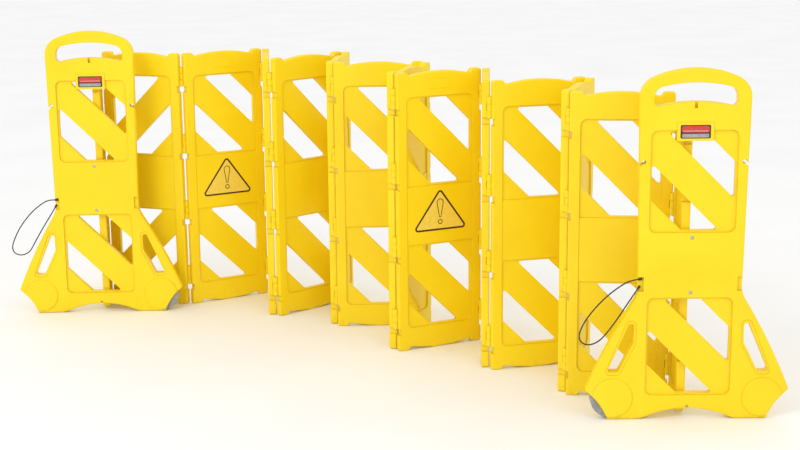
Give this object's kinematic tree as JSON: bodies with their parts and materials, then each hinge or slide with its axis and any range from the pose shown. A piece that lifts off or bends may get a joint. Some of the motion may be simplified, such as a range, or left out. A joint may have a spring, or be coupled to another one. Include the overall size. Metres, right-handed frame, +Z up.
{
  "type": "crowd control barrier",
  "caption": "Free-standing accordion barrier of hinged plastic panels that folds flat between two wheeled end panels.",
  "frame": {"origin": "on the floor, under the centre of the barrier's box as it stands", "axes": "+Z up, +X along the barrier from the left end panel to the right one, -Y towards the fronts of the end panels"},
  "size_m": [2.507, 1.4544, 1.0159],
  "materials": {
    "yellow_plastic": "blow-moulded polyethylene, safety yellow, satin",
    "tyre": "grey non-marking rubber",
    "wheel_hub": "dark moulded plastic",
    "steel": "zinc plated steel",
    "label": "printed film label, blank",
    "warning_sign": "printed film triangle",
    "cord": "stiff braided black cord",
    "ferrule": "black moulded cord end"
  },
  "bodies": {
    "left_end_panel": {"left_end_panel": "yellow_plastic", "left_wheel_axle": "steel", "left_axle_washer": "steel", "left_end_label": "label", "left_panel_screws": "steel", "left_cord_ferrules": "ferrule", "left_cord_loop": "cord", "hinge_pins_00": "steel"},
    "left_link_leaf": {"left_link_leaf": "yellow_plastic", "hinge_pins_01": "steel"},
    "panel_01": {"panel_01": "yellow_plastic", "hinge_pins_02": "steel"},
    "panel_02": {"panel_02": "yellow_plastic", "hinge_pins_03": "steel", "panel_02_warning_sign": "warning_sign"},
    "panel_03": {"panel_03": "yellow_plastic", "hinge_pins_04": "steel"},
    "panel_04": {"panel_04": "yellow_plastic", "hinge_pins_05": "steel"},
    "panel_05": {"panel_05": "yellow_plastic", "hinge_pins_06": "steel"},
    "panel_06": {"panel_06": "yellow_plastic", "hinge_pins_07": "steel"},
    "panel_07": {"panel_07": "yellow_plastic", "hinge_pins_08": "steel"},
    "panel_08": {"panel_08": "yellow_plastic", "hinge_pins_09": "steel", "panel_08_warning_sign": "warning_sign"},
    "panel_09": {"panel_09": "yellow_plastic", "hinge_pins_10": "steel"},
    "panel_10": {"panel_10": "yellow_plastic", "hinge_pins_11": "steel"},
    "panel_11": {"panel_11": "yellow_plastic", "hinge_pins_12": "steel"},
    "panel_12": {"panel_12": "yellow_plastic", "hinge_pins_13": "steel"},
    "right_link_leaf": {"right_link_leaf": "yellow_plastic", "hinge_pins_14": "steel"},
    "right_end_panel": {"right_end_panel": "yellow_plastic", "right_wheel_axle": "steel", "right_axle_washer": "steel", "right_end_label": "label", "right_panel_screws": "steel", "right_cord_ferrules": "ferrule", "right_cord_loop": "cord"},
    "left_wheel": {"left_wheel_tyre": "tyre", "left_wheel_hub": "wheel_hub"},
    "right_wheel": {"right_wheel_tyre": "tyre", "right_wheel_hub": "wheel_hub"}
  },
  "joints": [
    {"name": "left_end_hinge", "type": "hinge", "parent": "left_end_panel", "child": "left_link_leaf", "pos_m": [-0.95461, 0.49237, 0], "axis": [0, 0, -1], "range_deg": [-85, 5]},
    {"name": "fold_hinge_01", "type": "hinge", "parent": "left_link_leaf", "child": "panel_01", "pos_m": [-0.94698, 0.64685, 0], "axis": [0, 0, 1], "range_deg": [-65, 3.83]},
    {"name": "fold_hinge_02", "type": "hinge", "parent": "panel_01", "child": "panel_02", "pos_m": [-0.64894, 0.57777, 0], "axis": [0, 0, -1], "range_deg": [-133, 47]},
    {"name": "fold_hinge_03", "type": "hinge", "parent": "panel_02", "child": "panel_03", "pos_m": [-0.36955, 0.70245, 0], "axis": [0, 0, 1], "range_deg": [-66, 114]},
    {"name": "fold_hinge_04", "type": "hinge", "parent": "panel_03", "child": "panel_04", "pos_m": [-0.31669, 0.40111, 0], "axis": [0, 0, -1], "range_deg": [-54, 126]},
    {"name": "fold_hinge_05", "type": "hinge", "parent": "panel_04", "child": "panel_05", "pos_m": [-0.06933, 0.58115, 0], "axis": [0, 0, 1], "range_deg": [-40, 140]},
    {"name": "fold_hinge_06", "type": "hinge", "parent": "panel_05", "child": "panel_06", "pos_m": [-0.09094, 0.27598, 0], "axis": [0, 0, -1], "range_deg": [-79, 101]},
    {"name": "fold_hinge_07", "type": "hinge", "parent": "panel_06", "child": "panel_07", "pos_m": [0.2146, 0.26023, 0], "axis": [0, 0, 1], "range_deg": [-64, 116]},
    {"name": "fold_hinge_08", "type": "hinge", "parent": "panel_07", "child": "panel_08", "pos_m": [0.11474, -0.02896, 0], "axis": [0, 0, -1], "range_deg": [-41, 139]},
    {"name": "fold_hinge_09", "type": "hinge", "parent": "panel_08", "child": "panel_09", "pos_m": [0.40214, 0.07593, 0], "axis": [0, 0, 1], "range_deg": [-62, 118]},
    {"name": "fold_hinge_10", "type": "hinge", "parent": "panel_09", "child": "panel_10", "pos_m": [0.41255, -0.22983, 0], "axis": [0, 0, -1], "range_deg": [-73, 107]},
    {"name": "fold_hinge_11", "type": "hinge", "parent": "panel_10", "child": "panel_11", "pos_m": [0.71468, -0.18171, 0], "axis": [0, 0, 1], "range_deg": [-55, 125]},
    {"name": "fold_hinge_12", "type": "hinge", "parent": "panel_11", "child": "panel_12", "pos_m": [0.6301, -0.47573, 0], "axis": [0, 0, -1], "range_deg": [-75, 105]},
    {"name": "fold_hinge_13", "type": "hinge", "parent": "panel_12", "child": "right_link_leaf", "pos_m": [0.93047, -0.53384, 0], "axis": [0, 0, 1], "range_deg": [-95, 1.07]},
    {"name": "right_end_hinge", "type": "hinge", "parent": "right_link_leaf", "child": "right_end_panel", "pos_m": [0.95421, -0.68668, 0], "axis": [0, 0, -1], "range_deg": [-89, 1]},
    {"name": "left_wheel_spin", "type": "hinge", "parent": "left_end_panel", "child": "left_wheel", "pos_m": [-0.73916, 0.48338, 0.0655], "axis": [-0.0349, 0.9994, 0], "continuous": true},
    {"name": "right_wheel_spin", "type": "hinge", "parent": "right_end_panel", "child": "right_wheel", "pos_m": [0.73921, -0.70318, 0.0655], "axis": [0, 1, 0], "continuous": true}
  ],
  "couplings": [
    {"joint": "fold_hinge_01", "follows": "left_end_hinge", "ratio": 0.76471},
    {"joint": "fold_hinge_13", "follows": "right_end_hinge", "ratio": 1.0674}
  ]
}
